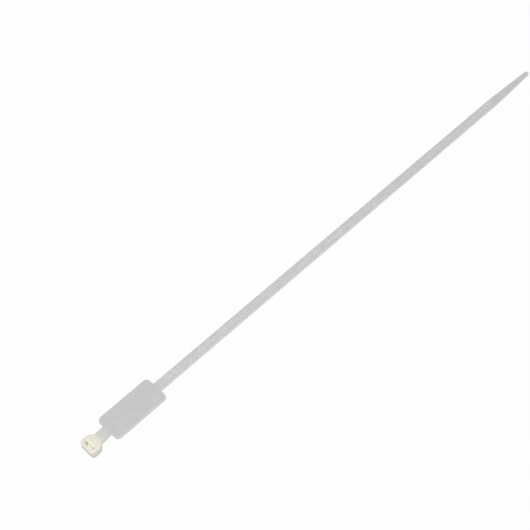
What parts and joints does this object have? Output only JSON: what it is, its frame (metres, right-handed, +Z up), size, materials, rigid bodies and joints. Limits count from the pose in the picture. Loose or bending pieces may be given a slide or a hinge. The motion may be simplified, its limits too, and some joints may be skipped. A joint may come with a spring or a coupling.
{
  "type": "cable tie",
  "caption": "One-piece nylon cable tie with a ratchet head, a flat marker plate next to it and a long toothed strap that ends in a tapered tail.",
  "frame": {"origin": "on the surface that the tie lies on, under the middle of its length and width", "axes": "+X along the strap from the head to the tip, +Y across the strap, +Z up out of the toothed side"},
  "size_m": [0.302, 0.013, 0.0055],
  "materials": {
    "nylon": "satin"
  },
  "bodies": {
    "root": {"cable_tie": "nylon"}
  },
  "joints": []
}
